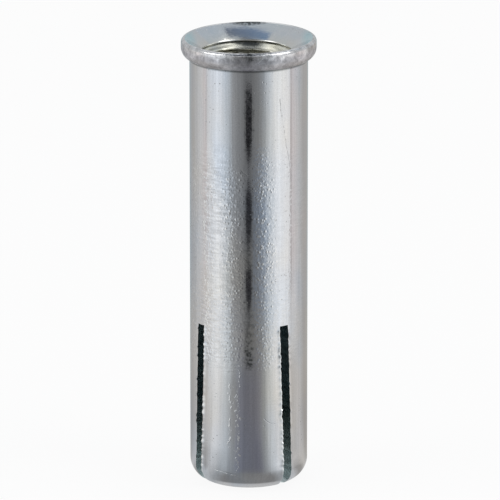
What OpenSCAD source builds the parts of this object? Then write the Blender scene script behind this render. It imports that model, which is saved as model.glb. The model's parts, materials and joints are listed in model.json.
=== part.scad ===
// Lipped drop-in anchor: a threaded sleeve with a flared lip and a slotted end that a tapered plug spreads.
// The slotted end stands on z = 0 and the sleeve's axis is Z.

/* [Sleeve] */
// Overall length, slotted end to rim
length = 30.5; // [28:0.5:40]
// Outer diameter of the body
body_d = 7.9; // [7.6:0.1:8.6]
// Rounding of the slotted end
end_round_r = 1.4; // [0.6:0.1:1.8]

/* [Lip] */
// Outer diameter of the lip
lip_d = 9.05; // [8.8:0.05:10]
// How far below the rim the lip is widest
lip_widest_drop = 0.55; // [0.4:0.05:1.2]
// Rounding of the lip's underside, down to the body
lip_under_r = 0.8; // [0.75:0.05:1.5]
// Rounding of the rim's outer edge
rim_r = 0.25; // [0.1:0.05:0.35]
// Width of the flat land on top of the rim
rim_land = 0.08; // [0.02:0.02:0.2]

/* [Mouth and thread] */
// Diameter where the flare ends and the thread begins
mouth_d = 6.1; // [5.8:0.1:6.8]
// Depth of the flare below the rim
mouth_depth = 0.87; // [0.5:0.01:1.5]
// Wall-to-wall diameter of the thread's bore, at the thread's crests
thread_bore_d = 5; // [4.9:0.05:5.4]
// Depth of the thread below the mouth
thread_length = 13; // [9:0.5:15]

/* [Chamber] */
// Diameter of the chamber below the thread
chamber_d = 4.6; // [4:0.1:4.8]
// Height above the slotted end where the chamber starts to narrow
taper_start = 9.5; // [8:0.25:12]
// Diameter of the exit at the slotted end
exit_d = 3; // [2:0.1:3.6]
// Length of the exit's straight wall
exit_land = 1.2; // [0.6:0.1:2]

/* [Slots] */
// Width of the saw cuts
slot_w = 0.65; // [0.4:0.05:1.2]
// Length of the saw cuts
slot_length = 11.5; // [9:0.25:14]
// Turn of the crossed saw cuts about the axis; at 0 a leaf faces the front squarely
slot_turn = -8.5; // [-45:0.5:45]
// Lean of each saw cut off the axis, which widens the front leaf towards its tip
slot_lean = 2; // [0:0.25:3]

/* [Plug] */
// Overall length of the plug
plug_length = 7; // [5:0.25:9]
// Length of the plug's straight head
plug_head_length = 2.5; // [1.5:0.25:4]
// Chamfer on the plug's two ends
plug_edge = 0.25; // [0.1:0.05:0.5]
// Clearance between the plug and the chamber
plug_clearance = 0.02; // [0.01:0.01:0.1]

/* [Hidden] */
$fn = 96;
// How far a cut runs past the surface that it opens
past = 1;
// The front faces -Y, and each of the four leaves spans a quarter turn
front_angle = -90;
leaf_half_angle = 45;

body_r = body_d / 2;
lip_r = lip_d / 2;
lip_widest_z = length - lip_widest_drop;
rim_round_z = length - rim_r;
flare_r = lip_r - rim_r - rim_land;
mouth_r = mouth_d / 2;
mouth_z = length - mouth_depth;
thread_r = thread_bore_d / 2;
thread_top_z = mouth_z - (mouth_r - thread_r);
thread_end_z = mouth_z - thread_length;
chamber_r = chamber_d / 2;
exit_r = exit_d / 2;
taper_angle = atan((chamber_r - exit_r) / (taper_start - exit_land));

plug_r = chamber_r - plug_clearance;
plug_cone_z = taper_start + plug_clearance * tan(taper_angle / 2);
plug_tip_z = plug_cone_z - (plug_length - plug_head_length);
plug_top_z = plug_tip_z + plug_length;

// Half section of the body and the lip, with no bore
module outside_section() {
    translate([0, end_round_r]) square([body_r, lip_widest_z - end_round_r]);
    square([body_r - end_round_r, end_round_r]);
    translate([body_r - end_round_r, end_round_r]) circle(end_round_r);
    intersection() {
        translate([lip_r - lip_under_r, lip_widest_z]) circle(lip_under_r);
        translate([0, lip_widest_z - lip_under_r]) square([lip_r, lip_under_r]);
    }
    translate([0, lip_widest_z]) square([lip_r, lip_widest_drop - rim_r]);
    translate([0, rim_round_z]) square([lip_r - rim_r, rim_r]);
    translate([lip_r - rim_r, rim_round_z]) circle(rim_r);
}

// Half section of everything that is hollow: exit, taper, chamber, thread bore, its chamfer and the flare
module inside_section() {
    polygon([
        [0, -past],
        [exit_r, -past],
        [exit_r, exit_land],
        [chamber_r, taper_start],
        [chamber_r, thread_end_z],
        [thread_r, thread_end_z],
        [thread_r, thread_top_z],
        [mouth_r, mouth_z],
        [flare_r, length],
        [flare_r, length + past],
        [0, length + past],
    ]);
}

// One cut right across the slotted end, hinged about its own root
module saw_cut(lean) {
    translate([0, 0, slot_length])
        rotate([lean, 0, 0])
            translate([-lip_r, -slot_w / 2, -slot_length - past])
                cube([lip_d, slot_w, slot_length + past]);
}

module sleeve() {
    color([0.78, 0.79, 0.8])
        difference() {
            rotate_extrude()
                difference() {
                    outside_section();
                    inside_section();
                }
            for (side = [-1, 1])
                rotate(front_angle + slot_turn + side * leaf_half_angle)
                    saw_cut(side * slot_lean);
        }
}

module expander_plug() {
    tip_r = plug_r - (plug_cone_z - plug_tip_z) * tan(taper_angle);
    tip_edge_r = tip_r + plug_edge * tan(taper_angle);
    color([0.6, 0.61, 0.63])
        rotate_extrude()
            polygon([
                [0, plug_tip_z],
                [tip_edge_r - plug_edge, plug_tip_z],
                [tip_edge_r, plug_tip_z + plug_edge],
                [plug_r, plug_cone_z],
                [plug_r, plug_top_z - plug_edge],
                [plug_r - plug_edge, plug_top_z],
                [0, plug_top_z],
            ]);
}

sleeve();
expander_plug();
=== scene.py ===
"""Zinc-plated drop-in anchor: the sleeve with its thread, saw cuts and plating, on a pale studio floor."""
import json
import math

import bmesh
import bpy
import numpy as np
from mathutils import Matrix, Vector


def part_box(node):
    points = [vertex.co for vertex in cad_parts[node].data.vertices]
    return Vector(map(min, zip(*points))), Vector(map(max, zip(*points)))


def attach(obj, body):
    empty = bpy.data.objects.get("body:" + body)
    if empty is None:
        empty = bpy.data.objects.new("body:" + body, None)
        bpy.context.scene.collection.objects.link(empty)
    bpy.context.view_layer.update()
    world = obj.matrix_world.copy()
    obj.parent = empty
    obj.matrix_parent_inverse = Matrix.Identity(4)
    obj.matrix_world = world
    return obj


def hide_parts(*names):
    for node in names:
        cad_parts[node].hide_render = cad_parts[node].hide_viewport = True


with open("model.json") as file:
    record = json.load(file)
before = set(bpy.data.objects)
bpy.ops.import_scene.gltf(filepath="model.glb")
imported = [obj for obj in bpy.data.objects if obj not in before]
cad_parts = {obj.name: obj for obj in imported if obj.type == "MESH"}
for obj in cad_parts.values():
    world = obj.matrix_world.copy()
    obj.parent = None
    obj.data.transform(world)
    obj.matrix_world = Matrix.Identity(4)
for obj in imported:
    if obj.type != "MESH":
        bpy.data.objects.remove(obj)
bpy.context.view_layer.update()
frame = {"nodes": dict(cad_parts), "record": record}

rng = np.random.default_rng(seed=6)
MM = 0.001

# Sizes of the sleeve in millimetres and degrees: the frame gives what a node or a mount states,
# and the rest repeats the CAD model
sleeve_low, sleeve_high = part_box("sleeve")
mounts = {m["name"]: m for m in frame["record"]["mounts"]}
LENGTH = (sleeve_high.z - sleeve_low.z) / MM
LIP_R = (sleeve_high.x - sleeve_low.x) / 2 / MM
BODY_R = mounts["body"]["dims"]["r_mm"]
END_ROUND_R = 1.4
LIP_WIDEST_DROP = 0.55
LIP_UNDER_R = 0.8
RIM_R = 0.25
RIM_LAND = 0.08
MOUTH_R = 3.05
MOUTH_DEPTH = 0.87
CREST_R = mounts["thread"]["dims"]["r_mm"]
THREAD_END = mounts["thread"]["pos_m"][2] / MM - mounts["thread"]["dims"]["length_mm"] / 2
CHAMBER_R = 2.3
TAPER_START = 9.5
EXIT_R = 1.5
EXIT_LAND = 1.2
SLOT_W = 0.65
SLOT_LENGTH = 11.5
SLOT_TURN = -8.5
SLOT_LEAN = 2.0
MOUTH_Z = LENGTH - MOUTH_DEPTH
FLARE_R = LIP_R - RIM_R - RIM_LAND
LEAF_WIDTH = BODY_R * math.pi / 2 - SLOT_W
FRONT = -90.0

# The thread: M6, one millimetre pitch, its turns moved along the axis by a shift
PITCH = 1.0
ROOT_R = 3.0
CREST_FLAT = 0.2
ROOT_FLAT = 0.16
THREAD_SHIFT = -0.45
# The mouth: how far the flare bulges, the rounding of its lower edge and the land above the first turn
FLARE_BULGE = 0.018
MOUTH_EDGE_R = 0.12
MOUTH_LAND = 0.18

# How finely the sleeve is meshed: rows along its section, columns round it
ROWS_FLAT = 5
ROWS_ROUND = 18
ROWS_SLOT = 140
ROWS_BODY = 12
ROWS_UNDER = 16
ROWS_LIP = 4
ROWS_RIM = 12
ROWS_EDGE = 8
ROWS_FLARE = 12
ROWS_FINE = 56
FINE_DEPTH = 2.2
ROWS_THREAD = 100
ROWS_CHAMBER = 8
EDGE_STEPS = (0.0, 0.04, 0.08, 0.13, 0.2, 0.32, 0.5)
LEAF_COLUMNS = 20
SLOT_COLUMNS = 3
WALL_STEPS = 5


def arc(r, z, radius, start, end, count):
    """Points (r, z) of an arc, from one angle to the other in degrees."""
    angles = np.radians(np.linspace(start, end, count))
    return np.column_stack([r + radius * np.cos(angles), z + radius * np.sin(angles)])


def outer_low_rows():
    """Section from the exit's edge over the rounded end and up the wall to the root of the saw cuts."""
    flat = np.linspace((EXIT_R, 0), (BODY_R - END_ROUND_R, 0), ROWS_FLAT)
    turn = arc(BODY_R - END_ROUND_R, END_ROUND_R, END_ROUND_R, -90, 0, ROWS_ROUND)
    wall = np.linspace((BODY_R, END_ROUND_R), (BODY_R, SLOT_LENGTH), ROWS_SLOT)
    return np.vstack([flat, turn[1:], wall[1:]])


def inner_low_rows(outer):
    """Section of the exit and the taper, level for level with the outer wall above the rounded end."""
    below = ROWS_FLAT + ROWS_ROUND - 1
    levels = np.concatenate([np.linspace(0, END_ROUND_R, below), outer[below:, 1]])
    corners = ((0, EXIT_R), (EXIT_LAND, EXIT_R), (TAPER_START, CHAMBER_R), (SLOT_LENGTH, CHAMBER_R))
    return np.column_stack([np.interp(levels, *zip(*corners)), levels])


def flare_rows():
    """Section of the flare: rounded over from the rim, a little convex, then rounded into the bore."""
    slope = math.atan2(MOUTH_DEPTH, FLARE_R - MOUTH_R)
    steep = 90 + math.degrees(slope)
    edge_r = RIM_LAND / math.tan(slope / 2)
    edge = arc(FLARE_R + RIM_LAND, LENGTH - edge_r, edge_r, 90, steep, ROWS_EDGE)
    drop = MOUTH_EDGE_R * math.tan((math.pi / 2 - slope) / 2)
    mouth = arc(MOUTH_R + MOUTH_EDGE_R, MOUTH_Z - drop, MOUTH_EDGE_R, steep, 180, ROWS_EDGE)
    share = np.linspace(0, 1, ROWS_FLARE)[1:-1, None]
    outward = np.array((-math.sin(slope), math.cos(slope)))
    cone = edge[-1] + (mouth[0] - edge[-1]) * share + outward * FLARE_BULGE * 4 * share * (1 - share)
    return np.vstack([edge[1:], cone, mouth])


def thread_rows(top):
    """Section points down the thread, close together near the mouth."""
    fine = np.linspace(top, top - FINE_DEPTH, ROWS_FINE)[1:]
    rest = np.linspace(top - FINE_DEPTH, THREAD_END, ROWS_THREAD)[1:]
    levels = np.concatenate([fine, rest])
    return np.column_stack([np.full_like(levels, CREST_R), levels])


def upper_rows():
    """Section from the slots' root up the wall, over the lip and down the bore, and each row's part."""
    wide_z = LENGTH - LIP_WIDEST_DROP
    under_r = LIP_R - LIP_UNDER_R
    meet = math.degrees(math.acos((BODY_R - under_r) / LIP_UNDER_R))
    under = arc(under_r, wide_z, LIP_UNDER_R, -meet, 0, ROWS_UNDER)
    side = np.linspace((LIP_R, wide_z), (LIP_R, LENGTH - RIM_R), ROWS_LIP)
    flare = flare_rows()
    parts = {
        "body": np.linspace((BODY_R, SLOT_LENGTH), under[0], ROWS_BODY),
        "lip": np.vstack([under[1:], side[1:]]),
        "rim": arc(LIP_R - RIM_R, LENGTH - RIM_R, RIM_R, 0, 90, ROWS_RIM)[1:],
        "flare": flare,
        "thread": thread_rows(flare[-1, 1]),
        "chamber": np.linspace((CHAMBER_R, THREAD_END), (CHAMBER_R, SLOT_LENGTH), ROWS_CHAMBER),
    }
    names = [name for name, rows in parts.items() for _ in rows]
    return np.vstack(list(parts.values())), names


def slot_leans():
    """Angle and lean of each slot, in order round the axis: both saw cuts lean away from the front leaf."""
    slots = []
    for side in (-1, 1):
        angle = FRONT + SLOT_TURN + side * 45
        slots.append((angle, side * SLOT_LEAN))
        slots.append((angle + 180, -side * SLOT_LEAN))
    return sorted(slots)


SLOTS = slot_leans()
LEAVES = range(len(SLOTS))

# Burrs along the saw cuts: their spacing, half length and height beside the front leaf and elsewhere
FRONT_STEP = (0.14, 0.5)
OTHER_STEP = (0.3, 1.7)
BURR_LENGTH = (0.05, 0.16)
BURR_REACH = 0.12
FRONT_BURR = 0.09
OTHER_BURR = 0.06
FRONT_EDGES = (1, 2)
# Shallow groove beside the burrs of the front leaf: its distance from the edge, half width and depth
GROOVE_AT = 0.24
GROOVE_REACH = 0.06
GROOVE_DEPTH = 0.016
# Shares of their full height between which burrs and grooves vary
UNEVEN = (0.2, 1.0)
# Bright worn line along every slot edge: its share and half width
EDGE_SHINE = 0.3
SHINE_REACH = 0.07
# How far each edge is cut beyond the slot's width, and how it wanders slowly and from tooth to tooth
SAW_EXTRA = 0.03
SLOW_WANDER = 0.012
TOOTH_WANDER = 0.014
# Along an edge, how many random values make the slow wander, the teeth and the groove
SLOW_VALUES = 9
TOOTH_VALUES = 60
GROOVE_VALUES = 40
# Lengths over which all this fades out below the slots' root, and the wander towards the exit
ROOT_FADE = 0.4
EXIT_FADE = 2.0


def burr_line(levels, height, step):
    """Height of a row of torn burrs along one slot edge, level by level."""
    lift = np.zeros_like(levels)
    level = rng.uniform(*step)
    while level < SLOT_LENGTH:
        along = (levels - level) / rng.uniform(*BURR_LENGTH)
        lift = np.maximum(lift, height * rng.uniform(*UNEVEN) * np.exp(-along ** 2))
        level += rng.uniform(*step)
    return lift


def along_edge(levels, values):
    """Values at even steps along a slot edge, level by level."""
    return np.interp(levels, np.linspace(0, SLOT_LENGTH, len(values)), values)


def ragged_edges(levels):
    """Sideways wander, raised burr and groove of each slot edge, level by level, in millimetres."""
    fade = np.clip((SLOT_LENGTH - levels) / ROOT_FADE, 0, 1)
    wander, burr, groove = [], [], []
    for edge in range(2 * len(SLOTS)):
        slow = along_edge(levels, rng.normal(0, SLOW_WANDER, SLOW_VALUES))
        teeth = along_edge(levels, rng.normal(0, TOOTH_WANDER, TOOTH_VALUES))
        wander.append((SAW_EXTRA + slow + teeth) * fade)
        in_front = edge in FRONT_EDGES
        height, step = (FRONT_BURR, FRONT_STEP) if in_front else (OTHER_BURR, OTHER_STEP)
        burr.append(burr_line(levels, height, step) * fade)
        ripple = along_edge(levels, rng.uniform(*UNEVEN, GROOVE_VALUES))
        groove.append(ripple * fade * (GROOVE_DEPTH if in_front else 0.0))
    return np.array(wander), np.array(burr), np.array(groove)


def leaf_shares():
    """Shares of a leaf's width at which its columns stand, close together beside the saw cuts."""
    near = [step / LEAF_WIDTH for step in EDGE_STEPS]
    middle = list(np.linspace(near[-1], 1 - near[-1], LEAF_COLUMNS + 2)[1:-1])
    return np.array(near + middle + [1 - share for share in reversed(near)])


LEAF_SHARES = leaf_shares()
SLOT_SHARES = np.linspace(0, 1, SLOT_COLUMNS + 2)[1:-1]
COLUMNS = len(SLOTS) * (len(LEAF_SHARES) + SLOT_COLUMNS)


def columns_of(leaf):
    """Column numbers of one leaf; the slot after it follows."""
    first = leaf * (len(LEAF_SHARES) + SLOT_COLUMNS)
    return np.arange(first, first + len(LEAF_SHARES))


def slot_columns_after(leaf):
    """Column numbers of the slot after a leaf, both leaf edges included."""
    return (columns_of(leaf)[-1] + np.arange(SLOT_COLUMNS + 2)) % COLUMNS


def edge_angles(radius, drop, wander):
    """Angles of the two edges of each slot at a radius, so far below the slots' root."""
    edges = []
    for slot, (angle, lean) in enumerate(SLOTS):
        middle = math.radians(angle)
        shift = drop * math.tan(math.radians(lean))
        near = shift - SLOT_W / 2 - wander[2 * slot]
        far = shift + SLOT_W / 2 + wander[2 * slot + 1]
        edges.append((middle + math.asin(near / radius), middle + math.asin(far / radius)))
    return edges


NO_WANDER = np.zeros(2 * len(SLOTS))


def ring_angles(radius, level, wander=NO_WANDER):
    """Angle of every column on one row of the section."""
    drop = max(0.0, SLOT_LENGTH - level)
    edges = edge_angles(radius, drop, wander)
    angles = []
    for leaf in LEAVES:
        following = (leaf + 1) % len(SLOTS)
        turn = 2 * math.pi if following == 0 else 0
        start, end, far = edges[leaf][1], edges[following][0] + turn, edges[following][1] + turn
        angles.extend(start + (end - start) * LEAF_SHARES)
        angles.extend(end + (far - end) * SLOT_SHARES)
    return np.array(angles)


def thread_radius(angles, level):
    """Radius of the right-hand internal thread at each angle of one level, and its share of the depth."""
    phase = np.mod((level - THREAD_SHIFT) / PITCH - angles / (2 * math.pi), 1.0)
    height = np.abs(phase - 0.5) * 2
    flank = (height - CREST_FLAT) / (1 - CREST_FLAT - ROOT_FLAT)
    depth = np.clip(flank, 0, 1) * min(1.0, (level - THREAD_END) / PITCH)
    chamfer = MOUTH_R - max(0.0, MOUTH_Z - MOUTH_LAND - level)
    radius = np.maximum(CREST_R + (ROOT_R - CREST_R) * depth, chamfer)
    return radius, (radius - max(CREST_R, chamfer)) / (ROOT_R - CREST_R)


def wavy(angles, count, size):
    """Sum of a few waves round the axis with random phases, in millimetres."""
    return sum(size / n * np.sin(n * angles + rng.uniform(0, 2 * math.pi)) for n in range(2, count))


# How the real lip departs from a true ring: tilt to the left, rise at the back, waves and where their sums
# end, and the mouth off centre, down to a depth
LIP_TILT = 0.035
LIP_RISE = 0.08
LIP_WAVE = 0.008
WAVES_INWARD = 14
WAVES_UPWARD = 10
MOUTH_SHIFT = -0.17
SHIFT_DEPTH = 1.6
# The first slot ends lower than the others: how far, and its reach in radians round and millimetres along
ROOT_DROP = 0.16
ROOT_AROUND = 0.2
ROOT_REACH = 0.9


class MeshParts:
    """Points (x, y, z, mark), faces and the surface of each face, as the sleeve is put together."""

    def __init__(self):
        self.points, self.faces, self.surfaces = [], [], []

    def add_ring(self, radii, angles, levels, marks=0.0, shift=0.0):
        """Adds a ring of points and gives their numbers."""
        start = len(self.points)
        ones = np.ones_like(angles)
        ring = [radii * np.cos(angles) + shift, radii * np.sin(angles), levels * ones, marks * ones]
        self.points.extend(np.column_stack(ring).tolist())
        return np.arange(start, start + len(angles))

    def add_wall_line(self, a, b):
        """Adds points across a saw cut's wall and gives the numbers from its outer to its inner edge."""
        if a == b:
            return [a] * (WALL_STEPS + 1)
        start, end = np.array(self.points[a]), np.array(self.points[b])
        first = len(self.points)
        for step in range(1, WALL_STEPS):
            self.points.append((start + (end - start) * step / WALL_STEPS).tolist())
        return [a, *range(first, len(self.points)), b]

    def skin(self, row_a, row_b, columns, surface):
        """Adds the faces between two rows of points; corners that are one point count once."""
        for column, following in zip(columns[:-1], columns[1:]):
            corners = (row_a[column], row_a[following], row_b[following], row_b[column])
            corners = list(dict.fromkeys(corners))
            if len(corners) > 2:
                self.faces.append(corners)
                self.surfaces.append(surface)

    def without_spares(self):
        """The points that faces use, and the faces by their new numbers."""
        used = sorted({corner for face in self.faces for corner in face})
        renumber = {old: new for new, old in enumerate(used)}
        points = np.array([self.points[i] for i in used])
        return points, [[renumber[i] for i in face] for face in self.faces]


def low_rings(build, outer, inner):
    """Rings of the leaves' outside and inside, from the far end up to below the slots' root."""
    wander, burr, groove = ragged_edges(outer[:, 1])
    gaps = np.array([LEAF_SHARES * LEAF_WIDTH, (1 - LEAF_SHARES) * LEAF_WIDTH])
    ridge_reach = np.exp(-(gaps / BURR_REACH) ** 2)
    groove_reach = np.exp(-((gaps - GROOVE_AT) / GROOVE_REACH) ** 2)
    shine = np.zeros(COLUMNS)
    for leaf in LEAVES:
        shine[columns_of(leaf)] = EDGE_SHINE * np.exp(-(gaps.min(axis=0) / SHINE_REACH) ** 2)
    outside = []
    for row, (radius, level) in enumerate(outer[:-1]):
        angles = ring_angles(radius, level, wander[:, row] * min(1.0, (radius - EXIT_R) / EXIT_FADE))
        lift = np.zeros(COLUMNS)
        for leaf in LEAVES:
            edges = (2 * leaf + 1, 2 * ((leaf + 1) % len(SLOTS)))
            for side, edge in enumerate(edges):
                ridge = burr[edge, row] * ridge_reach[side]
                lift[columns_of(leaf)] += ridge - groove[edge, row] * groove_reach[side]
        lift *= min(1.0, level / END_ROUND_R)
        outside.append(build.add_ring(radius + lift, angles, level, np.clip(lift / FRONT_BURR, shine, 1)))
    inside = [build.add_ring(radius, ring_angles(radius, level), level) for radius, level in inner[:-1]]
    inside[0] = outside[0]
    return outside, inside


def upper_rings(build, upper, names):
    """Rings from the slots' root up the wall, over the uneven lip and down the thread to the chamber."""
    around = ring_angles(LIP_R, LENGTH)
    inward = np.minimum(wavy(around, WAVES_INWARD, LIP_WAVE), 0)
    upward = wavy(around, WAVES_UPWARD, LIP_WAVE) + LIP_TILT * np.cos(around)
    upward += LIP_RISE * (1 + np.sin(around)) / 2
    rings = []
    for (radius, level), name in zip(upper, names):
        angles = ring_angles(radius, level)
        share = float(np.clip((level - MOUTH_Z) / MOUTH_DEPTH, 0, 1))
        if name == "thread":
            radii, roots = thread_radius(angles, level)
            shift = MOUTH_SHIFT * max(0.0, 1 - (MOUTH_Z - level) / SHIFT_DEPTH)
            rings.append(build.add_ring(radii, angles, level, roots, shift))
        elif name in ("lip", "rim", "flare"):
            shift = MOUTH_SHIFT * (1 - share) if name == "flare" else 0.0
            rings.append(build.add_ring(radius + inward * share, angles, level + upward * share, 0.0, shift))
        else:
            rings.append(build.add_ring(radius, angles, level))
    return rings


def add_slot_walls(build, outside, inside):
    """Adds the walls and roofs of the saw cuts between the leaves' outside and inside rings."""
    across = range(WALL_STEPS + 1)
    roof_lines = {}
    for leaf in LEAVES:
        for column in (columns_of(leaf)[0], columns_of(leaf)[-1]):
            lines = [build.add_wall_line(a[column], b[column]) for a, b in zip(outside, inside)]
            roof_lines[column] = lines[-1]
            for below, above in zip(lines[:-1], lines[1:]):
                build.skin(below, above, across, "saw_cut")
        for column in slot_columns_after(leaf)[1:-1]:
            roof_lines[column] = build.add_wall_line(outside[-1][column], inside[-1][column])
    for leaf in LEAVES:
        columns = slot_columns_after(leaf)
        for column, following in zip(columns[:-1], columns[1:]):
            build.skin(roof_lines[column], roof_lines[following], across, "saw_cut")


def lower_root(points):
    """Lowers the points round the root of the first slot."""
    aside = (np.arctan2(points[:, 1], points[:, 0]) - math.radians(SLOTS[0][0])) / ROOT_AROUND
    above = (points[:, 2] - SLOT_LENGTH) / ROOT_REACH
    points[:, 2] -= ROOT_DROP * np.exp(-aside ** 2 - above ** 2)


def sleeve_mesh():
    """Points with their marks, faces and the surface of each face of the sleeve, as one closed mesh."""
    build = MeshParts()
    outer = outer_low_rows()
    outside, inside = low_rings(build, outer, inner_low_rows(outer))
    upper, names = upper_rows()
    rings = upper_rings(build, upper, names)
    all_round = np.append(np.arange(COLUMNS), 0)
    for below, above, name in zip(rings[:-1], rings[1:], names[1:]):
        build.skin(below, above, all_round, name)
    outside.append(rings[0])
    inside.append(rings[-1])
    for leaf in LEAVES:
        for row in range(len(outer) - 1):
            build.skin(outside[row], outside[row + 1], columns_of(leaf), "body")
            build.skin(inside[row + 1], inside[row], columns_of(leaf), "chamber")
    add_slot_walls(build, outside, inside)
    points, faces = build.without_spares()
    lower_root(points)
    return points, faces, build.surfaces


# Shader nodes
def add(kind, inputs=None, tree=None, **settings):
    """A shader node of a kind with its settings, its inputs given as values or as sockets to link from.

    It goes into the tree of those sockets; where there are none, the tree has to be given.
    """
    inputs = inputs or {}
    if tree is None:
        tree = next(value.id_data for value in inputs.values() if isinstance(value, bpy.types.NodeSocket))
    made = tree.nodes.new("ShaderNode" + kind)
    for name, value in settings.items():
        setattr(made, name, value)
    for name, value in inputs.items():
        if isinstance(value, bpy.types.NodeSocket):
            tree.links.new(value, made.inputs[name])
        else:
            made.inputs[name].default_value = value
    return made


def new_material(name):
    """A node material without nodes, as (material, tree)."""
    material = bpy.data.materials.new(name)
    material.use_nodes = True
    material.node_tree.nodes.clear()
    return material, material.node_tree


def show(shader):
    """Makes a shader the surface of its material."""
    add("OutputMaterial", {"Surface": shader.outputs[0]})


def math_node(operation, a, b=0.0, clamp=False):
    """Result of one Math node."""
    return add("Math", {0: a, 1: b}, operation=operation, use_clamp=clamp).outputs[0]


def times(value, *factors):
    """Product of a value and its factors."""
    for factor in factors:
        value = math_node("MULTIPLY", value, factor)
    return value


def minus(a, b):
    """Difference of two values."""
    return math_node("SUBTRACT", a, b)


def absolute(value):
    """A value without its sign."""
    return math_node("ABSOLUTE", value)


def total(layers):
    """Sum of (value, size) layers."""
    height = 0.0
    for layer, size in layers:
        height = math_node("ADD", height, times(layer, size))
    return height


def vector_node(operation, a, b=(0, 0, 0), output="Vector"):
    """Result of one Vector Math node, a vector or a value."""
    return add("VectorMath", {0: a, 1: b}, operation=operation).outputs[output]


def scaled(vector, scale):
    """A vector times a number."""
    return add("VectorMath", {0: vector, "Scale": scale}, operation="SCALE").outputs["Vector"]


def object_place(tree):
    """Object coordinates in metres."""
    return add("TexCoord", tree=tree).outputs["Object"]


def axes(where):
    """X, Y and Z of a place."""
    return tuple(add("SeparateXYZ", {0: where}).outputs)


def new_surface(name):
    """A new material, the place on it in millimetres, and that place's X, Y and Z."""
    material, tree = new_material(name)
    where = scaled(object_place(tree), 1 / MM)
    return material, where, *axes(where)


def angle_from_front(x, y):
    """Angle round the axis in radians: 0 at the front, positive to the right."""
    return math_node("ARCTAN2", x, times(y, -1.0))


def spread(value, low, high, to_low=0.0, to_high=1.0):
    """A value mapped from one range to another, held at its ends."""
    inputs = {0: value, 1: low, 2: high, 3: to_low, 4: to_high}
    return add("MapRange", inputs).outputs[0]


def fall(value, low, high):
    """1 below a range, 0 above it."""
    return spread(value, low, high, 1.0, 0.0)


def between(value, ends):
    """1 between two ends of a range, with a slope at each: (starts, is full, is full, ends)."""
    return times(spread(value, *ends[:2]), fall(value, *ends[2:]))


NOISE_MEAN = 0.5


def noise(where, cells, detail=2.0, roughness=0.5):
    """Noise from 0 to 1, with so many cells a millimetre, along each axis or the same along all."""
    stretched = vector_node("MULTIPLY", where, np.broadcast_to(cells, 3).tolist())
    inputs = {"Vector": stretched, "Scale": 1.0, "Detail": detail, "Roughness": roughness}
    return add("TexNoise", inputs).outputs[0]


def noises(where, patterns):
    """Noise of each pattern, in their order."""
    return [noise(where, *pattern) for pattern in patterns.values()]


def patchy(where, pattern, tones):
    """Noise of a pattern, mapped from one range to another."""
    return spread(noise(where, *pattern), *tones)


def rgba(colour):
    """An opaque colour."""
    return (*colour, 1.0)


def ramp(value, stops):
    """Colour ramp through (position, colour) stops."""
    made = add("ValToRGB", {0: value})
    elements = made.color_ramp.elements
    while len(elements) < len(stops):
        elements.new(0.5)
    for element, (position, colour) in zip(elements, stops):
        element.position = position
        element.color = rgba(colour)
    return made.outputs[0]


def mix(share, a, b, blend="MIX"):
    """Two colours mixed."""
    return add("Mix", {0: share, 6: a, 7: b}, data_type="RGBA", blend_type=blend).outputs[2]


def tinted(colour, tint, share=1.0):
    """A colour times a tint, where the share is full."""
    return mix(share, colour, tint, "MULTIPLY")


def coated(colour, coats):
    """A colour under coats of (paint, share)."""
    for paint, share in coats:
        colour = mix(share, colour, rgba(paint))
    return colour


def metal(colour, roughness, height):
    """Metal shader with a bump whose height is in millimetres."""
    bump = add("Bump", {"Height": height, "Distance": MM})
    inputs = {"Base Color": colour, "Roughness": roughness, "Metallic": 1.0, "Normal": bump.outputs[0]}
    show(add("BsdfPrincipled", inputs))


def mesh_mark(where):
    """What the mesh marks from 0 to 1: burrs and worn edges on the outside, roots in the thread."""
    return add("Attribute", tree=where.id_data, attribute_name="mark").outputs["Fac"]


def spots(where, cells):
    """Distance to the nearest of scattered spots, so many a millimetre."""
    return add("TexVoronoi", {"Vector": where, "Scale": cells}).outputs["Distance"]


# Pits: their reach, the patches that they come in, and how soft the edge of a patch is
PIT_REACH = (0.06, 0.18)
PIT_PATCHES = ((0.5, 0.5, 0.35), 2.0)
PATCH_EDGE = 0.1


def pitting(where, cells, start):
    """Small round pits, so many a millimetre, in the patches where a slow noise is above a start."""
    pits = fall(spots(where, cells), *PIT_REACH)
    return times(pits, patchy(where, PIT_PATCHES, (start, start + PATCH_EDGE)))


# Marks on the outside: start and end as degrees from the front and height in millimetres, then half width
DARK_MARKS = (
    ((30.9, 27.2), (33.5, 26.1), 0.04),
    ((33.5, 26.1), (37.5, 24.6), 0.032),
    ((37.5, 24.6), (44.4, 22.4), 0.032),
    ((15.2, 5.15), (18.5, 4.95), 0.035),
    ((18.5, 4.95), (22.0, 4.82), 0.04),
    ((22.0, 4.82), (26.4, 4.78), 0.035),
    ((-7.2, 22.4), (-1.6, 22.1), 0.06),
    ((-7.2, 16.55), (-1.6, 16.2), 0.06),
    ((-35.0, 1.47), (-15.0, 1.28), 0.035),
)
LIGHT_MARKS = (
    ((-9.6, 8.9), (-10.2, 2.6), 0.12),
    ((-18.5, 7.6), (-18.2, 3.2), 0.1),
    ((-10.6, 2.6), (-11.6, 1.0), 0.06),
    ((-34.0, 1.38), (-15.0, 1.2), 0.045),
    ((-43.0, 3.5), (-37.0, 3.4), 0.04),
    ((-48.0, 20.0), (-44.0, 9.0), 0.2),
)
# How far the marks wobble, how much further the light ones stray, and how noise breaks each kind
WOBBLE_CELLS = 2.2
WOBBLE = (0.2, 0.2, 0.0)
ASTRAY = (4.0, 0.0, 0.0)
LONG_BREAKS = ((3, 3.0), (0.36, 0.5))
SHORT_BREAKS = ((6, 2.0), (0.48, 0.6))


def unrolled(where):
    """Place on the unrolled outside in millimetres: round from the front, then up."""
    x, y, level = axes(where)
    around = times(angle_from_front(x, y), BODY_R)
    return add("CombineXYZ", {0: around, 1: level}).outputs[0]


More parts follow.
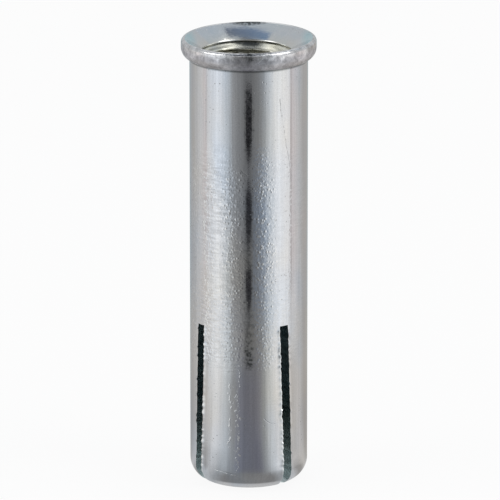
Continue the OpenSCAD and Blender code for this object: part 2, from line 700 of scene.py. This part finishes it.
def scratch(place, start, end, half_width):
    """1 along a straight mark on the unrolled outside, falling to 0 at its edges."""
    a, b = (Vector((math.radians(angle) * BODY_R, level, 0)) for angle, level in (start, end))
    along = b - a
    offset = vector_node("SUBTRACT", place, a)
    dot = vector_node("DOT_PRODUCT", offset, along / along.length_squared, "Value")
    nearest = scaled(along, math_node("ADD", dot, 0.0, clamp=True))
    gap = vector_node("DISTANCE", offset, nearest, "Value")
    return fall(gap, 0.0, half_width)


def scratches(place, marks):
    """1 along each of several marks."""
    drawn = 0.0
    for start, end, half_width in marks:
        drawn = math_node("MAXIMUM", drawn, scratch(place, start, end, half_width))
    return drawn


def body_marks(where):
    """Dark and light marks on the body, both broken."""
    wobble = add("TexNoise", {"Vector": where, "Scale": WOBBLE_CELLS}).outputs["Color"]
    wobble = vector_node("SUBTRACT", wobble, (NOISE_MEAN,) * 3)
    wobble = vector_node("MULTIPLY", wobble, WOBBLE)
    place = vector_node("ADD", unrolled(where), wobble)
    astray = vector_node("ADD", place, vector_node("MULTIPLY", wobble, ASTRAY))
    dark = times(scratches(place, DARK_MARKS), patchy(where, *LONG_BREAKS))
    light = times(scratches(astray, LIGHT_MARKS), patchy(where, *SHORT_BREAKS))
    return dark, light


# Colours that several metals share, the dark one for dirt and for painted shade and dark reflections, and
# the painted shade of the crease under the lip: its level, half width and share
DIRT_AND_SHADE = (0.10, 0.11, 0.11)
BARE = (0.93, 0.93, 0.92)
CREASE_Z = LENGTH - LIP_WIDEST_DROP - 0.77
CREASE_HALF = (0.02, 0.13)
CREASE_SHARE = 0.75
# Painted dark reflections at the front: half width with what the ragged edges add, how far forward they
# start, how they are broken, and the levels between which each comes and goes; those on the body also have a
# strength
RAGGED = (4, 3.0, 0.6)
FRONT_REFLECTION_HALF = (0.5, 0.75)
FRONT_REFLECTION_RAGGED = 0.8
FRONT_REFLECTION_START = (-3.2, -3.6)
FRONT_REFLECTION_BREAKS = ((5, 3.0, 0.6), (0.4, 0.6, 1.0, 0.25))
LIP_REFLECTION_LEVELS = (LENGTH - 0.65, LENGTH - 0.4, LENGTH, LENGTH + 0.2)
BODY_FRONT_REFLECTIONS = (
    ((8.55, 8.85, 9.4, 13.0), 1.0),
    ((10.5, 13.0, 20.5, 21.5), 0.5),
    ((22.8, 24.0, 27.8, 28.0), 0.75),
)
# Painted dark reflection on the rim at the back: half width, how far back it starts, and how it is broken
BACK_REFLECTION_HALF = (0.95, 1.35)
BACK_REFLECTION_START = (3.9, 4.02)
BACK_REFLECTION_BREAKS = (RAGGED, (0.42, 0.58, 0.95, 0.3))


def painted_crease_shade(level):
    """Share of the painted shade in the crease under the lip."""
    return spread(absolute(minus(level, CREASE_Z)), *CREASE_HALF, CREASE_SHARE, 0.0)


def painted_front_reflection(where, levels):
    """Share of a painted dark reflection at the front, broken into patches."""
    x, y, level = axes(where)
    edge = total(((absolute(x), 1.0), (noise(where, *RAGGED), FRONT_REFLECTION_RAGGED)))
    near = times(spread(y, *FRONT_REFLECTION_START), between(level, levels))
    return times(fall(edge, *FRONT_REFLECTION_HALF), near, patchy(where, *FRONT_REFLECTION_BREAKS))


def painted_back_reflection(where):
    """Share of a painted dark reflection on the rim at the back, broken into patches."""
    x, y, _ = axes(where)
    aside = fall(absolute(x), *BACK_REFLECTION_HALF)
    return times(aside, spread(y, *BACK_REFLECTION_START), patchy(where, *BACK_REFLECTION_BREAKS))


# Noise patterns of the body: cells a millimetre, detail and roughness; then its tints and what noise adds:
# the range of the noise and the tones or roughness it is mapped to
OUTSIDE_NOISES = {
    "stain": ((0.32, 0.32, 0.13), 3.0),
    "grain": (12, 2.0, 0.6),
    "drawn": ((6, 6, 0.2), 3.0),
    "lumps": ((1.0, 1.0, 0.5), 2.0),
    "peel": ((4.0, 4.0, 3.4), 2.0, 0.6),
    "ripple": ((1.3, 1.3, 6.0), 2.0, 0.6),
}
OUTSIDE_TINTS = (
    (0.30, (0.66, 0.71, 0.78)), (0.45, (0.73, 0.745, 0.77)),
    (0.56, (0.75, 0.75, 0.76)), (0.70, (0.775, 0.755, 0.725)),
)
OUTSIDE_GRAIN = (0.25, 0.75, 0.9, 1.06)
OUTSIDE_GLOSS = (0.3, 0.7, 0.045, 0.085)
DRAWN_TONES = (0.3, 0.7, 0.93, 1.04)
# Torn skin: levels between which it comes and goes, its patches, and where it is smooth
PEEL_LEVELS = (8.2, 9.4, 22.0, 24.5)
PEEL_PATCHES = (((0.45, 0.45, 0.3), 2.0), (0.38, 0.58, 0.5, 1.0))
SMOOTH_SEAM = (0.2, 0.6)
SMOOTH_SIDE = (1.5, 2.1, 1.0, 0.25)
# Its ripples, painted as highlights and darker dashes: where they are strong, their shares elsewhere and
# there, and their tones
RIPPLE_BAND = (-3.3, -2.7, -1.4, -0.6)
RIPPLE_SHARES = (0.2, 1.0)
RIPPLE_GLINT_TONES = (0.35, 0.65, 0.8, 1.18)
# Its granules: how many a millimetre, their reach, mean height and unevenness
GRANULES = 4.5
GRANULE_REACH = (0.05, 0.45)
DOME_MEAN = 0.25
DOME_SIZES = ((2.2, 2.0), (0.35, 0.65, 0.4, 1.0))
# How many pits a millimetre and where they start, and how strongly each kind of mark colours the body
PITS = (3.6, 0.55)
GRANULES_BARE = 0.7
BURRS_BARE = (0.1, 0.5)
PITS_DIRT = 0.6
MARKS_DIRT = 0.45


def torn_skin(where, across, level):
    """Where the skin of the body is torn, where it has granules, and their domes."""
    torn = times(between(level, PEEL_LEVELS), patchy(where, *PEEL_PATCHES))
    off_seam = spread(absolute(across), *SMOOTH_SEAM)
    granular = times(torn, off_seam, spread(across, *SMOOTH_SIDE))
    domes = fall(spots(where, GRANULES), *GRANULE_REACH)
    return torn, granular, times(domes, patchy(where, *DOME_SIZES))


def zinc_outside():
    """Plated body: passivation tints, drawing lines, a torn skin in the middle with painted highlights along
    its ripples, pits, marks, painted dark reflections at the front and painted shade in the crease under the
    lip.
    """
    material, where, across, _, level = new_surface("zinc_outside")
    stain, grain, drawn, lumps, peel, ripple = noises(where, OUTSIDE_NOISES)
    torn, granular, domes = torn_skin(where, across, level)
    peel = times(minus(peel, NOISE_MEAN), granular)
    granules = times(domes, granular)
    raised = times(minus(domes, DOME_MEAN), granular)
    burrs = mesh_mark(where)
    pits = pitting(where, *PITS)
    dark, light = body_marks(where)
    colour = tinted(ramp(stain, OUTSIDE_TINTS), spread(grain, *OUTSIDE_GRAIN))
    colour = tinted(colour, spread(drawn, *DRAWN_TONES))
    # Painted highlights and darker dashes along the ripples, strongest in a band on the left of the front.
    painted_ripple_glints = spread(between(across, RIPPLE_BAND), 0.0, 1.0, *RIPPLE_SHARES)
    colour = tinted(colour, spread(ripple, *RIPPLE_GLINT_TONES), times(torn, painted_ripple_glints))
    coats = [
        (BARE, times(granules, GRANULES_BARE)),
        (BARE, spread(burrs, *BURRS_BARE)),
        (DIRT_AND_SHADE, times(pits, PITS_DIRT)),
        (DIRT_AND_SHADE, times(dark, MARKS_DIRT)),
        (BARE, light),
    ]
    # Painted dark reflections down the front of the body.
    for levels, strength in BODY_FRONT_REFLECTIONS:
        coats.append((DIRT_AND_SHADE, times(painted_front_reflection(where, levels), strength)))
    # Painted shade in the crease under the lip.
    colour = coated(colour, coats + [(DIRT_AND_SHADE, painted_crease_shade(level))])
    roughness = total(((spread(grain, *OUTSIDE_GLOSS), 1.0), (granular, 0.03), (granules, 0.1),
                       (burrs, 0.2), (light, 0.3)))
    height = total(((lumps, 0.004), (peel, 0.022), (raised, 0.02), (drawn, 0.003), (grain, 0.0006),
                    (pits, -0.012), (dark, -0.008), (light, 0.012)))
    metal(colour, roughness, height)
    return material


FINE_GRAIN = (9, 3.0, 0.6)
BEAD_NOISES = {"grain": FINE_GRAIN, "mottle": (2.6, 3.0, 0.6), "lumps": ((1.2, 1.2, 2.0), 2.0)}
# Slightly mauve tint of the lip below the rim, darkened as painted shade
BEAD_SHADE_TINT = (0.50, 0.495, 0.515)
BEAD_MOTTLE = (0.3, 0.7, 0.66, 1.28)
BEAD_GRAIN = (0.3, 0.7, 0.86, 1.1)
BEAD_ROUGHNESS = (0.4, 0.16)
# The rim's tint takes over between these levels, which the mottle moves up and down
RIM_TINT = (0.76, 0.75, 0.755)
BEAD_LEVELS = (LENGTH - 0.55, LENGTH - 0.24)
BEAD_EDGE = (0.3, 0.7, -0.12, 0.12)
# The bead is painted lighter towards the sides: how far aside that comes in, and how much
BEAD_ASIDE = (2.8, 3.9)
BEAD_SIDE_LIGHT = 1.35


def zinc_bead():
    """Lip and rim: duller than the rest and mottled, with painted shade underneath and painted light towards
    the sides.
    """
    material, where, across, _, level = new_surface("zinc_bead")
    grain, mottle, lumps = noises(where, BEAD_NOISES)
    edge = math_node("ADD", level, spread(mottle, *BEAD_EDGE))
    bright = spread(edge, *BEAD_LEVELS)
    # Painted light towards the sides of the bead.
    side_light = spread(absolute(across), *BEAD_ASIDE, 1.0, BEAD_SIDE_LIGHT)
    colour = mix(bright, tinted(rgba(BEAD_SHADE_TINT), side_light), rgba(RIM_TINT))
    colour = tinted(colour, spread(mottle, *BEAD_MOTTLE))
    colour = tinted(colour, spread(grain, *BEAD_GRAIN))
    # Painted shade in the crease, and painted dark reflections at the back of the rim and at the front.
    dark = (painted_crease_shade(level), painted_back_reflection(where), painted_front_reflection(where, LIP_REFLECTION_LEVELS))
    colour = coated(colour, [(DIRT_AND_SHADE, share) for share in dark])
    roughness = spread(bright, 0.0, 1.0, *BEAD_ROUGHNESS)
    metal(colour, roughness, total(((lumps, 0.03), (mottle, 0.02), (grain, 0.003))))
    return material


FLARE_NOISES = {"stain": (0.5, 2.0), "grain": FINE_GRAIN, "mottle": (2.5, 2.0)}
FLARE_TINTS = ((0.3, (0.71, 0.74, 0.77)), (0.5, (0.75, 0.755, 0.765)), (0.7, (0.725, 0.755, 0.765)))
FLARE_GRAIN = (0.25, 0.75, 0.93, 1.05)
FLARE_ROUGHNESS = (0.3, 0.7, 0.09, 0.16)
# Teal passivation at the sides of the flare: how far aside and how far forward it comes in
TEAL_TINT = (0.74, 0.98, 1.02)
TEAL_ASIDE = (3.4, 3.85)
TEAL_FORWARD = (2.2, 0.9)
MOUTH_WARMTH = (1.03, 1.0, 0.94)
MOUTH_WARM_LEVELS = (MOUTH_Z + 0.1, MOUTH_Z + 0.5)
# Dark nicks and bare specks beside the rim: levels, how many a millimetre and where they start
RIM_LEVELS = (LENGTH - 0.2, LENGTH - 0.06)
NICKS = (3.2, 0.42)
SPECKS = (2.3, 0.36)
NICKS_DIRT = 0.75


def zinc_flare():
    """Flare: clear bluish plating, nicked where it meets the rim."""
    material, where, across, along, level = new_surface("zinc_flare")
    stain, grain, mottle = noises(where, FLARE_NOISES)
    on_rim = spread(level, *RIM_LEVELS)
    nicks = times(pitting(where, *NICKS), on_rim)
    specks = times(pitting(where, *SPECKS), on_rim)
    teal = times(spread(absolute(across), *TEAL_ASIDE), spread(along, *TEAL_FORWARD))
    colour = tinted(ramp(stain, FLARE_TINTS), spread(grain, *FLARE_GRAIN))
    colour = tinted(colour, rgba(TEAL_TINT), teal)
    colour = tinted(colour, rgba(MOUTH_WARMTH), fall(level, *MOUTH_WARM_LEVELS))
    nicked = times(nicks, NICKS_DIRT)
    # The dark patches on the rim at the back are a painted reflection.
    colour = coated(colour, ((DIRT_AND_SHADE, nicked), (DIRT_AND_SHADE, painted_back_reflection(where)), (BARE, specks)))
    height = total(((mottle, 0.004), (grain, 0.001), (nicks, -0.03)))
    metal(colour, spread(grain, *FLARE_ROUGHNESS), height)
    return material


BORE_NOISES = {"stain": (0.8, 2.0), "grain": (9, 2.0), "cut": ((0.6, 0.6, 9), 2.0)}
BORE_TINTS = ((0.3, (0.80, 0.78, 0.66)), (0.5, (0.90, 0.88, 0.77)), (0.7, (0.86, 0.85, 0.78)))
BORE_GRAIN = (0.25, 0.75, 0.9, 1.05)
BORE_CUT = (0.36, 0.6, 0.5, 1.05)
BORE_ROUGHNESS = (0.3, 0.7, 0.25, 0.34)
# Dirt and painted shade in the thread's roots: the range of the root mark and the shares it is mapped to
ROOT_DIRT_AND_SHADE = (0.3, 0.9, 0.0, 0.25)
# Painted shade in a ring under the mouth: levels, patches, and how far aside and how much lower its middle
# reaches
RING_LEVELS = (MOUTH_Z - 0.24, MOUTH_Z - 0.14)
RING_PATCHES = ((1.5, 2.0), (0.45, 0.55, 0.9, 0.6))
RING_MIDDLE = (0.4, 1.2)
RING_EXTRA = 0.16


def zinc_bore():
    """Thread and bore: yellowish plating, with dirt and painted shade in the thread's roots and painted
    shade in a ring under the mouth.
    """
    material, where, across, _, level = new_surface("zinc_bore")
    stain, grain, cut = noises(where, BORE_NOISES)
    # Painted shade in a ring under the mouth, lower in the middle.
    lower = spread(absolute(across), *RING_MIDDLE, RING_EXTRA, 0.0)
    ring = spread(math_node("ADD", level, lower), *RING_LEVELS)
    ring = times(ring, patchy(where, *RING_PATCHES))
    colour = tinted(ramp(stain, BORE_TINTS), spread(grain, *BORE_GRAIN))
    colour = tinted(colour, spread(cut, *BORE_CUT))
    colour = coated(colour, ((DIRT_AND_SHADE, ring), (DIRT_AND_SHADE, spread(mesh_mark(where), *ROOT_DIRT_AND_SHADE))))
    height = total(((stain, 0.004), (cut, 0.002), (grain, 0.0006)))
    metal(colour, spread(grain, *BORE_ROUGHNESS), height)
    return material


CUT_NOISES = {"stain": (0.7, 3.0), "saw": ((0.5, 0.5, 5), 2.0)}
CUT_TINTS = ((0.3, (0.22, 0.30, 0.31)), (0.5, (0.30, 0.39, 0.40)), (0.7, (0.38, 0.46, 0.46)))
CUT_TONES = (0.3, 0.7, 0.85, 1.1)
CUT_ROUGHNESS = (0.3, 0.7, 0.35, 0.5)
# Painted light at the open ends of the cuts, where light gets in, and the levels where it fades out
LOW_CUT_LIGHT = (0.64, 0.72, 0.72)
LOW_CUT_LIGHT_LEVELS = (0.8, 6.0)


def sawn_walls():
    """Walls of the saw cuts: dark, dull and a little green."""
    material, where, _, _, level = new_surface("sawn_walls")
    stain, saw = noises(where, CUT_NOISES)
    # Painted light towards the open ends of the cuts.
    low = fall(level, *LOW_CUT_LIGHT_LEVELS)
    colour = tinted(ramp(stain, CUT_TINTS), spread(saw, *CUT_TONES))
    colour = coated(colour, ((LOW_CUT_LIGHT, low),))
    height = total(((saw, 0.0015), (stain, 0.003)))
    metal(colour, spread(saw, *CUT_ROUGHNESS), height)
    return material


PLUG_NOISES = {"stain": (0.6, 2.0), "turned": ((0.2, 0.2, 12), 2.0)}
PLUG_TINTS = ((0.3, (0.48, 0.48, 0.50)), (0.5, (0.56, 0.56, 0.58)), (0.7, (0.55, 0.54, 0.53)))
PLUG_TONES = (0.3, 0.7, 0.9, 1.06)
PLUG_ROUGHNESS = (0.3, 0.7, 0.22, 0.34)


def plain_steel():
    """Expander plug: turned steel."""
    material, where, *_ = new_surface("plug_steel")
    stain, turned = noises(where, PLUG_NOISES)
    colour = tinted(ramp(stain, PLUG_TINTS), spread(turned, *PLUG_TONES))
    metal(colour, spread(turned, *PLUG_ROUGHNESS), total(((turned, 0.001),)))
    return material


def new_object(name, data):
    """An object in the scene."""
    made = bpy.data.objects.new(name, data)
    bpy.context.scene.collection.objects.link(made)
    return made


# Which of the sleeve's materials each surface has, and the angle from which an edge is drawn sharp
SURFACES = {"body": 0, "lip": 1, "rim": 1, "flare": 2, "thread": 3, "chamber": 3, "saw_cut": 4}
SHARP_ANGLE = 38


def make_sleeve():
    """The sleeve as one mesh piece, in place of its CAD node."""
    points, faces, surfaces = sleeve_mesh()
    mesh = bpy.data.meshes.new("plated_sleeve")
    mesh.from_pydata((points[:, :3] * MM).tolist(), [], faces)
    mesh.attributes.new("mark", "FLOAT", "POINT").data.foreach_set("value", points[:, 3])
    for material in (zinc_outside(), zinc_bead(), zinc_flare(), zinc_bore(), sawn_walls()):
        mesh.materials.append(material)
    mesh.polygons.foreach_set("material_index", [SURFACES[s] for s in surfaces])
    outward = bmesh.new()
    outward.from_mesh(mesh)
    bmesh.ops.recalc_face_normals(outward, faces=outward.faces)
    outward.to_mesh(mesh)
    outward.free()
    mesh.polygons.foreach_set("use_smooth", [True] * len(mesh.polygons))
    mesh.set_sharp_from_angle(angle=math.radians(SHARP_ANGLE))
    piece = new_object("plated_sleeve", mesh)
    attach(piece, "root")
    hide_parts("sleeve")


def dress_plug():
    """Material of the plug, which keeps its CAD shape."""
    plug = frame["nodes"]["expander_plug"]
    plug.data.materials.clear()
    plug.data.materials.append(plain_steel())


# Stage
SEEN_DIRECTLY = ("Is Camera Ray", "Is Glossy Ray")


def seen_directly(tree):
    """1 for the rays that see the set straight or in the metal, else 0."""
    path = add("LightPath", tree=tree)
    seen = 0.0
    for ray in SEEN_DIRECTLY:
        seen = math_node("MAXIMUM", seen, path.outputs[ray])
    return seen


def glow(tones):
    """Makes a material shine in its tones."""
    show(add("Emission", {"Color": tones}))


PLAIN = (1.0, 1.0, 1.0)
FLOOR_MATT = (0.9, 0.9, 0.9)
FLOOR_WHITE = 0.9
FLOOR_HALF = 1.5
FLOOR_DROP = 0.00002


def make_floor():
    """White floor: mostly its own white where it is seen, and a plain matt surface that takes the shadow."""
    material, tree = new_material("studio_floor")
    matt = add("BsdfDiffuse", {"Color": rgba(FLOOR_MATT)}, tree)
    white = add("Emission", {"Color": rgba(PLAIN)}, tree)
    share = times(seen_directly(tree), FLOOR_WHITE)
    show(add("MixShader", {0: share, 1: matt.outputs[0], 2: white.outputs[0]}))
    bpy.ops.mesh.primitive_plane_add(size=2 * FLOOR_HALF, location=(0, 0, -FLOOR_DROP))
    floor = bpy.context.object
    floor.name = "studio_floor"
    floor.data.materials.append(material)


def reflection_only(name, points, faces, material):
    """A studio card that only shows in reflections."""
    mesh = bpy.data.meshes.new(name)
    mesh.from_pydata(points, [], faces)
    mesh.materials.append(material)
    card = new_object(name, mesh)
    card.visible_camera = False
    card.visible_diffuse = False
    card.visible_shadow = False


def grey(level, tint=PLAIN):
    """A tint at a brightness."""
    return tuple(level * part for part in tint)


# Tones of the tent round the anchor: angle from the camera's side, left negative, then brightness and tint
COOL = (0.97, 1.0, 1.03)
BLUE = (0.94, 1.0, 1.05)
WARM = (1.04, 1.0, 0.96)
PINK = (1.05, 0.98, 0.97)
TEAL = (0.80, 1.04, 1.12)
TENT_TONES = (
    (-180, 0.46, TEAL), (-150, 0.45, COOL), (-136, 0.47, PLAIN), (-119, 0.58, PLAIN),
    (-105, 0.68, PLAIN), (-92, 0.69, PINK), (-90, 0.62, PINK), (-87, 0.75, PLAIN),
    (-72, 0.87, COOL), (-63, 0.99, COOL), (-54, 0.89, COOL), (-45, 0.70, BLUE),
    (-36, 0.53, BLUE), (-31, 0.36, COOL), (-20, 0.27, COOL), (-8, 0.19, COOL),
    (9, 0.19, COOL), (18, 0.24, COOL), (29, 0.37, BLUE), (34, 0.55, BLUE),
    (42, 0.75, BLUE), (51, 0.91, COOL), (60, 1.02, COOL), (78, 0.95, PLAIN),
    (86, 0.90, PLAIN), (88, 0.53, PINK), (91, 0.53, PINK), (93, 0.73, PINK),
    (113, 0.60, PLAIN), (130, 0.47, WARM), (152, 0.44, WARM), (180, 0.46, TEAL),
)
# Dark strip straight in front of the anchor: its half width in degrees, its width by distance in
# millimetres, how many degrees it loses where it ends, and how far its edges wander
STRIP_EDGES = (4.7, 8.3)
STRIP_TONE = (0.04, 0.04, 0.045)
STRIP_BY_DISTANCE = (
    (0, 0.0), (43, 0.0), (48, 0.6), (52, 1.0), (56, 1.0), (59, 0.4), (60, 0.0), (63.5, 0.0), (65, 0.6),
    (69, 1.0), (78, 1.0), (83, 0.5), (84.5, 0.0), (87.5, 0.0), (89, 0.5), (96, 1.0), (113, 1.0),
    (114.5, 0.0), (124, 0.0),
)
STRIP_TAPER = 9.0
STRIP_RAGGED = 8.0
STRIP_NOISE = (0.4, 4.0, 0.7)
# Painted shadow on the floor close under the anchor, in front, with a lighter ring under its edge: tone by
# distance in millimetres, and where it ends
NEAR_SHADOW_TONES = ((0.0, 0.14), (2.95, 0.14), (3.15, 0.58), (3.55, 0.58), (3.75, 0.25), (5.5, 0.25), (9.0, 0.28))
NEAR_SHADOW_EDGES = (4.8, 9.0)
NEAR_SHADOW_ANGLES = (30.0, 50.0)
# Pale upper part of the tent beside and behind the anchor: heights and angles where it comes in
UPPER_TONE = (0.535, 0.555, 0.57)
UPPER_HEIGHTS = (15, 60)
UPPER_ANGLES = (60, 72)
# Plain floor at the sides, further out and close by: angles and distances where each comes and goes
SIDE_TONE = (0.62, 0.612, 0.606)
SIDE_ANGLES = (80, 90, 100, 120)
SIDE_DISTANCES = (42, 60)
CLOSE_ANGLES = (66, 78, 98, 118)
CLOSE_DISTANCES = (10, 24)
# Tinted patches of the floor: tint, angles and distances where each comes and goes; the darker greys near
# the anchor are painted shadow
FLOOR_TINTS = (
    ((0.90, 0.97, 1.08), (6, 12, 28, 40), (42, 50, 82, 90)),
    ((1.03, 1.00, 0.955), (-180, -179, 179, 180), (14, 24, 40, 48)),
    ((0.97, 1.00, 1.04), (-95, -80, -45, -30), (106, 113, 130, 140)),
    ((1.02, 1.00, 0.955), (40, 50, 70, 84), (106, 113, 130, 140)),
    (grey(0.86), (-100, -84, -50, -36), (9, 11, 22, 36)),
    (grey(0.86), (36, 50, 84, 100), (9, 11, 22, 36)),
    ((0.96, 0.965, 1.10), (-26, -16, 16, 26), (6, 9, 28, 36)),
    ((0.84, 0.84, 0.86), (8, 13, 22, 28), (4, 8, 12, 18)),
    (grey(1.20), (-52, -44, -14, -8), (28, 33, 44, 50)),
    ((1.22, 1.21, 1.20), (84, 90, 98, 106), (32, 37, 46, 54)),
    (grey(0.60), (-104, -88, -46, -32), (-2, -1, 8, 13)),
    (grey(0.60), (32, 46, 88, 104), (-2, -1, 6, 9)),
    (grey(0.86), (-181, -180, -122, -100), (-2, -1, 16, 30)),
    (grey(0.86), (100, 122, 180, 181), (-2, -1, 16, 30)),
)
# Rings of the tent, as radius and height in metres: just above the floor, then up
TENT_RINGS = ((0.0, 0.0001), (0.01, 0.0001), (0.05, 0.0001), (0.6, 0.0001), (0.6, 0.45))
TENT_SIDES = 96


def by_distance(distance, stops):
    """Grey value looked up by distance."""
    last = stops[-1][0]
    share = math_node("DIVIDE", distance, last)
    return ramp(share, [(far / last, grey(level)) for far, level in stops])


def dark_strip(where, turn, distance):
    """Share of the dark strip in front, which comes and goes with the distance."""
    lost = minus(1.0, by_distance(distance, STRIP_BY_DISTANCE))
    ragged = minus(noise(where, *STRIP_NOISE), NOISE_MEAN)
    edge = total(((turn, 1.0), (lost, STRIP_TAPER), (ragged, STRIP_RAGGED)))
    return fall(edge, *STRIP_EDGES)


def tent_card():
    """Glow of the tent, by direction and by distance from the axis."""
    material, where, x, y, height = new_surface("tent_card")
    angle = times(angle_from_front(x, y), 180 / math.pi)
    turn = absolute(angle)
    distance = vector_node("LENGTH", vector_node("MULTIPLY", where, (1, 1, 0)), output="Value")
    stops = [((degrees + 180) / 360, grey(level, tint)) for degrees, level, tint in TENT_TONES]
    upper = times(spread(height, *UPPER_HEIGHTS), spread(turn, *UPPER_ANGLES))
    side = times(fall(distance, *SIDE_DISTANCES), between(turn, SIDE_ANGLES))
    close = times(fall(distance, *CLOSE_DISTANCES), between(turn, CLOSE_ANGLES))
    sides = math_node("MAXIMUM", side, close)
    tones = ramp(spread(angle, -180, 180), stops)
    tones = coated(tones, ((UPPER_TONE, upper), (SIDE_TONE, sides)))
    # Tinted patches of the floor; the darker greys near the anchor are painted shadow.
    for tint, angles, distances in FLOOR_TINTS:
        patch = times(between(angle, angles), between(distance, distances))
        tones = tinted(tones, rgba(tint), patch)
    tones = coated(tones, ((STRIP_TONE, dark_strip(where, turn, distance)),))
    # Painted shadow on the tent close under the anchor, in front.
    near = times(fall(distance, *NEAR_SHADOW_EDGES), fall(turn, *NEAR_SHADOW_ANGLES))
    glow(mix(near, tones, by_distance(distance, NEAR_SHADOW_TONES)))
    return material


def make_tent():
    """A tent of graded card on the floor and round the set, which gives the metal its upright bands."""
    turns = np.linspace(0, 2 * math.pi, TENT_SIDES, endpoint=False)
    points = [(r * math.cos(t), r * math.sin(t), z) for r, z in TENT_RINGS for t in turns]
    faces = []
    for ring in range(len(TENT_RINGS) - 1):
        for side in range(TENT_SIDES):
            following = (side + 1) % TENT_SIDES
            a, b = ring * TENT_SIDES, (ring + 1) * TENT_SIDES
            faces.append((a + side, a + following, b + following, b + side))
    reflection_only("studio_tent", points, faces, tent_card())


# Cards overhead: extents across and along in metres, bow, share of each end that fades into the ceiling,
# and tones at the left and the right end; the bow lets the edges of a card run along the flare
CEILING_Z = 0.5
CARD_Z = 0.49
CARD_STEPS = 12
BLACK = (0.06, 0.06, 0.065)
WHITE = (1.05, 1.04, 1.02)
CREAM = (0.86, 0.85, 0.80)
BRIGHT = (1.15, 1.13, 1.05)
CEILING = (0.53, 0.555, 0.575)
CARDS = {
    "ceiling": ((-0.6, 0.6), (-0.6, 0.6), 0.0, 0.0, CEILING, (0.49, 0.545, 0.60)),
    "slate_card": ((-0.225, 0.195), (-0.071, -0.001), 1.7, 0.0, (0.17, 0.265, 0.42), (0.135, 0.16, 0.21)),
    "dark_card_front": ((-0.26, 0.16), (-0.36, -0.078), 0.7, 0.25, BLACK, BLACK),
    "dark_card_back": ((-0.04, 0.06), (0.1, 0.56), 1.7, 0.0, BLACK, BLACK),
    "rim_card_left": ((-0.19, -0.03), (0.24, 0.5), 1.7, 0.2, WHITE, WHITE),
    "rim_card_right": ((0.07, 0.18), (0.24, 0.5), 1.7, 0.2, WHITE, WHITE),
    "mouth_card_left": ((-0.6, -0.2), (-0.16, -0.055), 1.2, 0.4, CREAM, CREAM),
    "mouth_card_right": ((0.06, 0.56), (-0.2, -0.085), 1.2, 0.3, BRIGHT, BRIGHT),
}


def card_tones(name, x0, x1, soft, left, right):
    """Glow of an overhead card from its left to its right end."""
    material, tree = new_material(name)
    stops = [(soft, left), (1.0 - soft, right)]
    if soft > 0:
        stops = [(0.0, CEILING)] + stops + [(1.0, CEILING)]
    across = axes(object_place(tree))[0]
    glow(ramp(spread(across, x0, x1), stops))
    return material


def make_overhead_cards():
    """A pale ceiling with darker and brighter cards below it, which show in the flare and along the rim."""
    for name, ((x0, x1), (y0, y1), bow, soft, left, right) in CARDS.items():
        z = CEILING_Z if name == "ceiling" else CARD_Z
        points = []
        for x in np.linspace(x0, x1, CARD_STEPS + 1):
            points += [(x, y0 + bow * x * x, z), (x, y1 + bow * x * x, z)]
        faces = [(2 * i, 2 * i + 2, 2 * i + 3, 2 * i + 1) for i in range(CARD_STEPS)]
        reflection_only(name, points, faces, card_tones(name, x0, x1, soft, left, right))


# Soft boxes: place and size in metres, power in watts; they face the middle of the axis
LAMPS = {"left_box": (-0.36, -0.11, 0.32), "right_box": (0.28, -0.12, 0.34)}
LAMP_SIZE = (0.2, 0.28)
LAMP_POWER = 0.3
AXIS_MIDDLE = Vector((0, 0, LENGTH / 2 * MM))


def make_lamps():
    """The soft boxes at the left and the right."""
    for name, place in LAMPS.items():
        lamp = bpy.data.lights.new(name, "AREA")
        lamp.shape = "RECTANGLE"
        lamp.size, lamp.size_y = LAMP_SIZE
        lamp.energy = LAMP_POWER
        box = new_object(name, lamp)
        box.location = place
        box.rotation_euler = (AXIS_MIDDLE - Vector(place)).to_track_quat("-Z", "Y").to_euler()


WORLD_TINT = (0.97, 0.98, 1.0)
WORLD_STRENGTH = 0.7


def make_world():
    """White where it is seen, softer as light."""
    world = bpy.data.worlds.new("studio_world")
    world.use_nodes = True
    tree = world.node_tree
    tree.nodes.clear()
    soft = add("Background", {"Color": rgba(WORLD_TINT), "Strength": WORLD_STRENGTH}, tree)
    white = add("Background", {"Color": rgba(PLAIN)}, tree)
    both = add("MixShader", {0: seen_directly(tree), 1: soft.outputs[0], 2: white.outputs[0]})
    add("OutputWorld", {"Surface": both.outputs[0]}, is_active_output=True)
    bpy.context.scene.world = world


# The camera, fitted to the outline of the anchor in the photograph
CAMERA_ELEVATION = 15.87
CAMERA_DISTANCE = 0.3999
CAMERA_CLIP = (0.01, 10)
FRAME_PIXELS = 500
FOCAL_PIXELS = 5956
MIDDLE_PIXEL = (248.73, 258.73)
SENSOR = 36.0


def make_camera():
    """Looks at the middle of the axis from the front, moved so that the middle falls on its pixel."""
    data = bpy.data.cameras.new("camera")
    data.sensor_width = SENSOR
    data.lens = FOCAL_PIXELS / FRAME_PIXELS * SENSOR
    data.clip_start, data.clip_end = CAMERA_CLIP
    camera = new_object("camera", data)
    tilt = math.radians(CAMERA_ELEVATION)
    back = Vector((0, -math.cos(tilt), math.sin(tilt)))
    up = Vector((0, math.sin(tilt), math.cos(tilt)))
    pixel = CAMERA_DISTANCE / FOCAL_PIXELS
    across = (FRAME_PIXELS / 2 - MIDDLE_PIXEL[0]) * pixel
    along = (MIDDLE_PIXEL[1] - FRAME_PIXELS / 2) * pixel
    aim = AXIS_MIDDLE + Vector((across, 0, 0)) + up * along
    camera.location = aim + back * CAMERA_DISTANCE
    camera.rotation_euler = (-back).to_track_quat("-Z", "Y").to_euler()
    bpy.context.scene.camera = camera


make_sleeve()
dress_plug()
make_floor()
make_tent()
make_overhead_cards()
make_lamps()
make_world()
make_camera()
bpy.context.scene.view_settings.view_transform = "Standard"
